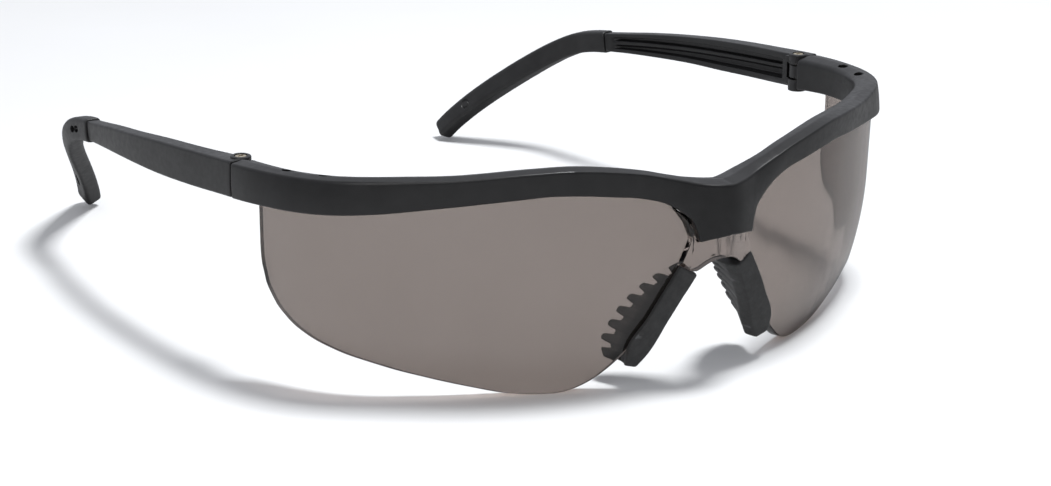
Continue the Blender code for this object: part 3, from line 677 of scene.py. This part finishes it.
def make_arm(side, word):
    def ring(y, margin=0.0):
        edge, inward, upward = arm_frame(y)
        height, thick = arm_at(y)[2:]
        share = channel_at(y)[0]
        floor = thick + (ARM_WALL - thick) * share
        ridge = thick + (ARM_WALL + 0.9 - thick) * share
        wall, half = 0.19 * height, height / 2
        outline = section([
            (0, 0, 0.55), (thick, 0, 0.4), (thick, -wall, 0.25), (floor, -wall - 0.15, 0.3),
            (floor, -half + 0.75, 0.25), (ridge, -half + 0.4, 0.25), (ridge, -half - 0.4, 0.25),
            (floor, -half - 0.75, 0.25), (floor, -height + wall + 0.15, 0.3),
            (thick, -height + wall, 0.25), (thick, -height, 0.4), (0, -height, 0.55),
            (-0.14, -half, 2.5)])
        if margin:
            outline = inset(outline, margin)
        return [edge + inward * across + upward * up for across, up in outline]

    rings = [ring(BUTT_Y + back, margin) for back, margin in BUTT_ROUND]
    rings += [ring(y) for y in steps_between(BUTT_Y + 0.3, 69.2, 1.0) + steps_between(69.4, 71.6, 0.2)]
    rings += [ring(y) for y in steps_between(72.5, 126, 1.5) + steps_between(127, ARM[-1][0], 0.4)]
    arm = draw(f"temple_arm_shell_{word}", mirrored(loft(rings), side))
    low, high = LOBE_TOP
    turn, inside = LOBE_ROUND
    top = turned([(0, low), (LOBE_R, low), (LOBE_R, high - turn), (LOBE_R - inside, high - inside),
                  (LOBE_R - turn, high), (0, high)])
    bmesh.ops.translate(top, verts=top.verts, vec=(AXIS_X, AXIS_Y, 0))
    bottom = cylinder(AXIS_X, AXIS_Y, *LOBE_LOW, LOBE_R)
    block = box((BLOCK_INNER, AXIS_Y, LOBE_LOW[0] + 0.9), (CHEEK_X, BLOCK_REAR, LOBE_TOP[1] - 0.8))
    bmesh.ops.bevel(block, geom=block.edges, offset=BLOCK_BEVEL, segments=2, affect="EDGES", profile=0.5)
    slot = box((AXIS_X - 6, AXIS_Y - 5, KNUCKLE[0] - GAP),
               (CHEEK_X, AXIS_Y + KNUCKLE_R + 0.2, KNUCKLE[1] + GAP))
    bore = cylinder(AXIS_X, AXIS_Y, LOBE_LOW[0] - 1, LOBE_TOP[1] + 1, SCREW_R + GAP, BORE_SIDES)
    sink = cylinder(AXIS_X, AXIS_Y, SCREW_HEAD[1] - GAP / 2, LOBE_TOP[1] + 1,
                    SCREW_HEAD[0] + GAP / 2, SINK_SIDES)
    pocket = cylinder(AXIS_X, AXIS_Y, LOBE_LOW[0] - 1, NUT_TOP + GAP, NUT_R + GAP, 6)
    along, inward, upward = rear_axis()
    thick, height, length = TONGUE
    tongue = oriented_box(sleeve_mouth() + along * (length / 2 - 1), (along, inward, upward),
                          (length + 2, thick, height))
    shapes = [("UNION", top), ("UNION", bottom), ("UNION", block), ("DIFFERENCE", slot),
              ("DIFFERENCE", bore), ("DIFFERENCE", sink), ("DIFFERENCE", pocket), ("UNION", tongue)]
    return carve(arm, [(operation, mirrored(bm, side)) for operation, bm in shapes])


def tip_frame(s):
    """The tip's middle point at distance s, with its inner face's direction and the way across it."""
    length = tip_rows[-1][0]
    x, y, z, thick, height = tip_at(s)
    along = (Vector(tip_at(min(s + 0.3, length))[:3]) - Vector(tip_at(max(s - 0.3, 0))[:3])).normalized()
    share = min(max((s - POCKET_DEPTH) / (length - POCKET_DEPTH), 0), 1)
    face = TIP_FACE_START.lerp(TIP_FACE_END, share)
    face = (face - along * face.dot(along)).normalized()
    across = along.cross(face).normalized()
    return Vector((x, y, z)), face, across, thick, height


def make_tip(side, word):
    length = tip_rows[-1][0] - TIP_SQUARE_END

    def ring(s, margin):
        middle, face, across, thick, height = tip_frame(s)
        half, tall = thick / 2, height / 2
        outline = section([(half, tall, 0.9), (-half, tall, 0.9), (-half - 0.1, 0, 1.6), (-half, -tall, 0.9),
                           (half, -tall, 0.9), (half + 0.05, 0, 1.6)])
        if margin:
            outline = inset(outline, margin)
        return [middle + face * f + across * a for f, a in outline]

    rows = [(0.0, 0.2), (0.12, 0.06), (0.3, 0.0)] + [(s, 0.0) for s in steps_between(1, length - 1.2, 0.9)]
    rows += [(length - 0.8, 0.06), (length - 0.45, 0.25), (length - 0.15, 0.55), (length, 0.95)]
    tip = draw(f"temple_tip_shell_{word}", mirrored(loft([ring(s, margin) for s, margin in rows]), side))
    along, inward, upward = rear_axis()
    thick, height, _ = TONGUE
    bore = oriented_box(sleeve_mouth() + along * (POCKET_DEPTH / 2 - 1), (along, inward, upward),
                        (POCKET_DEPTH + 2, thick + 2 * GAP, height + 2 * GAP))
    shapes = [bore]
    for reach in DETENTS:
        middle, face, across, thick, _ = tip_frame(reach)
        window = oval_cutter(0.7, (0.0, 0.12), 0.58, 1, 32)
        outside = middle - face * thick / 2
        window.transform(Matrix.Translation(outside) @ turn_to((across.cross(face), across, -face))
                         @ Matrix.Diagonal((*DETENT_SIZE, 1, 1)))
        shapes.append(window)
    middle, face, across, thick, _ = tip_frame(tip_rows[CORD_EYE][0])
    ring_radius, groove_radius = EYE_RING
    groove = turned([(ring_radius + groove_radius * math.cos(a), groove_radius * math.sin(a))
                     for a in (2 * math.pi * k / 10 for k in range(10))], 40, close=True)
    groove.transform(Matrix.Translation(middle + face * (thick / 2 + 0.05))
                     @ turn_to((across, face.cross(across), face)))
    shapes.append(groove)
    slot = oval_cutter(0.8, (0.0, 0.12), 0.56, 1, 32)
    slot.transform(Matrix.Translation(middle - face * thick / 2)
                   @ turn_to((across.cross(face), across, -face)) @ Matrix.Diagonal((*EYE_SLOT, 1, 1)))
    shapes.append(slot)
    return carve(tip, [("DIFFERENCE", mirrored(bm, side)) for bm in shapes])


def make_screw(side, word):
    """A turned screw with a low domed head and a cross recess."""
    radius, low, high = SCREW_HEAD
    dome = [(radius * math.sin(a), high - DOME + DOME * math.cos(a))
            for a in (math.pi / 2 * k / 6 for k in range(7))]
    screw = turned(dome + [(radius, low + 0.06), (radius - 0.06, low), (SCREW_R, low),
                           (SCREW_R, SCREW_FOOT + 0.2), (SCREW_R - 0.2, SCREW_FOOT), (0, SCREW_FOOT)])
    bmesh.ops.translate(screw, verts=screw.verts, vec=(side * AXIS_X, AXIS_Y, 0))
    reach, half, deep = RECESS
    turn = Matrix.Translation((side * AXIS_X, AXIS_Y, 0)) @ Matrix.Rotation(RECESS_TURN, 4, "Z")
    arms = []
    for half_x, half_y in ((reach, half), (half, reach)):
        cut = box((-half_x, -half_y, high - deep), (half_x, half_y, high + 1))
        cut.transform(turn)
        arms.append(("DIFFERENCE", cut))
    return carve(draw(f"hinge_screw_turned_{word}", screw), arms)


class Surface:
    """A procedural material: a Principled shader whose inputs are fed by noise in the piece's own space."""

    def __init__(self, name):
        self.material = bpy.data.materials.new(name)
        self.material.use_nodes = True
        self.nodes = self.material.node_tree.nodes
        self.links = self.material.node_tree.links
        self.shader = self.nodes["Principled BSDF"]
        self.output = self.nodes["Material Output"]
        self.space = self.nodes.new("ShaderNodeTexCoord").outputs["Object"]

    def set(self, **values):
        for name, value in values.items():
            self.shader.inputs[name.replace("_", " ")].default_value = value

    def stretched(self, scale):
        node = self.nodes.new("ShaderNodeMapping")
        node.inputs["Scale"].default_value = scale
        self.links.new(self.space, node.inputs["Vector"])
        return node.outputs["Vector"]

    def noise(self, grain, detail=3.0, space=None):
        """Noise with features about grain metres across."""
        node = self.nodes.new("ShaderNodeTexNoise")
        node.inputs["Scale"].default_value = 1 / grain
        node.inputs["Detail"].default_value = detail
        self.links.new(space or self.space, node.inputs["Vector"])
        return node.outputs["Fac"]

    def ramp(self, value, *stops):
        """A colour ramp through (position, colour) stops."""
        node = self.nodes.new("ShaderNodeValToRGB")
        elements = node.color_ramp.elements
        while len(elements) < len(stops):
            elements.new(0.5)
        for element, (position, colour) in zip(elements, stops):
            element.position = position
            element.color = (*colour, 1)
        self.links.new(value, node.inputs["Fac"])
        return node.outputs["Color"]

    def between(self, value, low, high, least=0.3, most=0.7):
        """Maps value's range least..most to low..high."""
        node = self.nodes.new("ShaderNodeMapRange")
        for name, number in (("From Min", least), ("From Max", most), ("To Min", low), ("To Max", high)):
            node.inputs[name].default_value = number
        self.links.new(value, node.inputs["Value"])
        return node.outputs["Result"]

    def mixed(self, share, one, two):
        node = self.nodes.new("ShaderNodeMix")
        node.data_type = "RGBA"
        self.links.new(share, node.inputs["Factor"])
        for socket, colour in ((node.inputs["A"], one), (node.inputs["B"], two)):
            if isinstance(colour, tuple):
                socket.default_value = (*colour, 1)
            else:
                self.links.new(colour, socket)
        return node.outputs["Result"]

    def feed(self, **values):
        for name, value in values.items():
            self.links.new(value, self.shader.inputs[name.replace("_", " ")])

    def bump(self, *layers):
        """Bumps from (height, strength, distance in metres) layers."""
        normal = None
        for height, strength, distance in layers:
            node = self.nodes.new("ShaderNodeBump")
            node.inputs["Strength"].default_value = strength
            node.inputs["Distance"].default_value = distance
            self.links.new(height, node.inputs["Height"])
            if normal:
                self.links.new(normal, node.inputs["Normal"])
            normal = node.outputs["Normal"]
        self.links.new(normal, self.shader.inputs["Normal"])

    def edges(self):
        """1 along sharp outer edges, 0 elsewhere, where a painted edge highlight goes."""
        geometry = self.nodes.new("ShaderNodeNewGeometry")
        return self.between(geometry.outputs["Pointiness"], 0.0, 1.0, 0.53, 0.6)


def moulded_nylon(name, dark, light, rough, edge_sheen):
    """Satin moulded plastic: mottled colour, uneven gloss, a fine spark-eroded grain, and sharp edges painted
    lighter as a highlight, broken up by noise.
    """
    made = Surface(name)
    mottle = made.noise(0.004, 4.0)
    body = made.ramp(mottle, (0.3, dark), (0.7, light))
    edge_sheen_mask = made.nodes.new("ShaderNodeMath")
    edge_sheen_mask.operation = "MULTIPLY"
    made.links.new(made.edges(), edge_sheen_mask.inputs[0])
    made.links.new(made.between(made.noise(0.0025), 0.2, 0.8), edge_sheen_mask.inputs[1])
    # painted highlight: sharp edges, broken up by noise, take a lighter bluish colour
    made.feed(Base_Color=made.mixed(edge_sheen_mask.outputs["Value"], body, edge_sheen),
              Roughness=made.between(made.noise(0.0012, 4.0), rough - 0.05, rough + 0.06))
    made.bump((made.noise(0.00016, 2.0), 0.25, 0.000012), (made.noise(0.003, 2.0), 0.15, 0.00003))
    made.set(Specular_IOR_Level=0.46)
    return made.material


def soft_rubber():
    """Matte rubber with a dusty bloom and a fine grain, and sharp edges painted lighter as a highlight."""
    made = Surface("pad_rubber_matte")
    body = made.ramp(made.noise(0.0018, 4.0), (0.3, (0.024, 0.0238, 0.024)), (0.7, (0.036, 0.0358, 0.036)))
    # painted highlight: sharp edges take a lighter colour
    made.feed(Base_Color=made.mixed(made.edges(), body, (0.075, 0.075, 0.078)),
              Roughness=made.between(made.noise(0.0006), 0.56, 0.7))
    made.bump((made.noise(0.00012, 2.0), 0.3, 0.000015))
    made.set(Specular_IOR_Level=0.4, Sheen_Weight=0.06, Sheen_Roughness=0.5)
    return made.material


def smoked_lens():
    """Polished smoke polycarbonate, with faint smears in its gloss. Lamps shine through it."""
    made = Surface("smoke_lens_polished")
    smear = made.noise(1.0, 3.0, made.stretched((30, 30, 90)))
    made.feed(Roughness=made.between(smear, 0.012, 0.035),
              Base_Color=made.ramp(made.noise(0.03, 2.0), (0.3, LENS_TINT), (0.7, LENS_TINT_LIGHT)))
    made.set(Transmission_Weight=1.0, IOR=1.58)
    clear = made.nodes.new("ShaderNodeBsdfTransparent")
    clear.inputs["Color"].default_value = (*LENS_SHADOW, 1)
    path = made.nodes.new("ShaderNodeLightPath")
    mix = made.nodes.new("ShaderNodeMixShader")
    made.links.new(path.outputs["Is Shadow Ray"], mix.inputs["Fac"])
    made.links.new(made.shader.outputs["BSDF"], mix.inputs[1])
    made.links.new(clear.outputs["BSDF"], mix.inputs[2])
    made.links.new(mix.outputs["Shader"], made.output.inputs["Surface"])
    return made.material


def plated_steel():
    """Warm nickel plate with a fine grain and slight tarnish."""
    made = Surface("screw_nickel")
    tarnish = made.noise(0.0005, 4.0)
    made.feed(Base_Color=made.ramp(tarnish, (0.35, (0.62, 0.53, 0.38)), (0.7, (0.88, 0.82, 0.68))),
              Roughness=made.between(made.noise(0.00008), 0.22, 0.4))
    made.bump((made.noise(0.00006, 2.0), 0.2, 0.00001))
    made.set(Metallic=1.0)
    return made.material


def floor_paint():
    """Matte white card with a barely visible tooth. Mirror rays, but not those through the lens, see it
    darker: painted shade in its reflections, most of all on the side with no lamp."""
    made = Surface("floor_card")
    path = made.nodes.new("ShaderNodeLightPath")
    mirrored_only = made.nodes.new("ShaderNodeMath")
    mirrored_only.operation = "SUBTRACT"
    made.links.new(path.outputs["Is Glossy Ray"], mirrored_only.inputs[0])
    made.links.new(path.outputs["Is Transmission Ray"], mirrored_only.inputs[1])
    card = made.ramp(made.noise(0.08, 3.0), (0.3, FLOOR_SHADE), (0.7, FLOOR_LIGHT))
    place = made.nodes.new("ShaderNodeSeparateXYZ")
    made.links.new(made.space, place.inputs["Vector"])
    # painted shade: the card's colour in reflections, darker along X towards the side with no lamp
    reflected_shade = made.between(place.outputs["X"], *MIRRORED_CARD_SHADE, *MIRRORED_SPAN)
    made.feed(Base_Color=made.mixed(mirrored_only.outputs["Value"], card, reflected_shade),
              Roughness=made.between(made.noise(0.002), 0.8, 0.95))
    made.bump((made.noise(0.0008), 0.05, 0.00002))
    made.set(Specular_IOR_Level=0.1)
    return made.material


def area_light(name, place, size, power, colour=(1, 1, 1)):
    """A soft box at place, measured from the middle of the object's box, aimed at that middle."""
    light = bpy.data.lights.new(name, "AREA")
    light.shape = "RECTANGLE"
    light.size, light.size_y = size
    light.energy = power
    light.color = colour
    obj = bpy.data.objects.new(name, light)
    obj.location = middle + Vector(place)
    obj.rotation_euler = (-Vector(place)).to_track_quat("-Z", "Y").to_euler()
    bpy.context.scene.collection.objects.link(obj)


def make_world():
    """White surroundings, brighter behind the object than in front of it."""
    world = bpy.data.worlds.new("studio")
    bpy.context.scene.world = world
    world.use_nodes = True
    nodes, links = world.node_tree.nodes, world.node_tree.links
    background = nodes["Background"]
    direction = nodes.new("ShaderNodeTexCoord").outputs["Generated"]
    facing = nodes.new("ShaderNodeVectorMath")
    facing.operation = "DOT_PRODUCT"
    facing.inputs[1].default_value = WORLD_BRIGHT_WAY
    spread = nodes.new("ShaderNodeMapRange")
    spread.inputs["From Min"].default_value, spread.inputs["From Max"].default_value = WORLD_SPAN
    spread.inputs["To Min"].default_value, spread.inputs["To Max"].default_value = WORLD_STRENGTH
    links.new(direction, facing.inputs[0])
    links.new(facing.outputs["Value"], spread.inputs["Value"])
    links.new(spread.outputs["Result"], background.inputs["Strength"])
    background.inputs["Color"].default_value = WORLD_COLOUR


def make_floor():
    mesh = bpy.data.meshes.new("studio_floor")
    bm = bmesh.new()
    bmesh.ops.create_grid(bm, x_segments=1, y_segments=1, size=FLOOR_SIZE / 2)
    bm.to_mesh(mesh)
    bm.free()
    floor = bpy.data.objects.new("studio_floor", mesh)
    floor.location.z = cad_bounds[0][2]
    mesh.materials.append(floor_paint())
    bpy.context.scene.collection.objects.link(floor)


def make_camera():
    azimuth, elevation, roll = (math.radians(a) for a in (CAMERA_AZIMUTH, CAMERA_ELEVATION, CAMERA_ROLL))
    back = Vector((math.sin(azimuth) * math.cos(elevation), -math.cos(azimuth) * math.cos(elevation),
                   math.sin(elevation)))
    right = Vector((0, 0, 1)).cross(back).normalized()
    up = back.cross(right)
    across = right * math.cos(roll) + up * math.sin(roll)
    camera = bpy.data.objects.new("camera", bpy.data.cameras.new("camera"))
    turn = turn_to((across, back.cross(across), back))
    camera.matrix_world = Matrix.Translation(Vector(CAMERA_TARGET) + back * CAMERA_DISTANCE) @ turn
    camera.data.lens = CAMERA_LENS
    camera.data.shift_x = CAMERA_SHIFT
    camera.data.clip_start = 0.01
    bpy.context.scene.collection.objects.link(camera)
    bpy.context.scene.camera = camera


middle = (Vector(cad_bounds[0]) + Vector(cad_bounds[1])) / 2
bpy.context.scene.view_settings.view_transform = "Standard"
make_camera()
make_world()
make_floor()
area_light("overhead_box", place=(0.13, -0.145, 0.8), size=(0.17, 0.17), power=7, colour=(0.97, 0.985, 1.0))
area_light("side_box", place=(-0.65, -0.4, 0.47), size=(0.5, 0.5), power=1.4)

# the lighter edge colours given here are painted highlights on sharp edges
frame_nylon = moulded_nylon("black_nylon_satin", dark=(0.0075, 0.0072, 0.0075),
                            light=(0.012, 0.0115, 0.012), rough=0.35, edge_sheen=(0.05, 0.05, 0.052))
sleeve_nylon = moulded_nylon("sleeve_nylon_satin", dark=(0.012, 0.0118, 0.012),
                             light=(0.019, 0.0185, 0.019), rough=0.42, edge_sheen=(0.06, 0.06, 0.062))
rubber = soft_rubber()
lens_glass = smoked_lens()
nickel = plated_steel()

finish_piece(make_brow_bar(), frame_nylon, "front", "brow_bar")
finish_piece(make_lens(), lens_glass, "front", "lens", SOFT_CREASE_ANGLE)
for side, word in ((1, "left"), (-1, "right")):
    finish_piece(make_nose_pad(side, word), rubber, "front", f"nose_pad_{word}",
                 SOFT_CREASE_ANGLE)
    finish_piece(make_arm(side, word), frame_nylon, f"{word}_arm", f"temple_arm_{word}")
    finish_piece(make_tip(side, word), sleeve_nylon, f"{word}_tip", f"temple_tip_{word}")
    screw = make_screw(side, word)
    finish_piece(screw, nickel, f"{word}_arm", f"hinge_screw_{word}")
    bpy.data.objects[f"hinge_nut_{word}"].material_slots[0].material = nickel
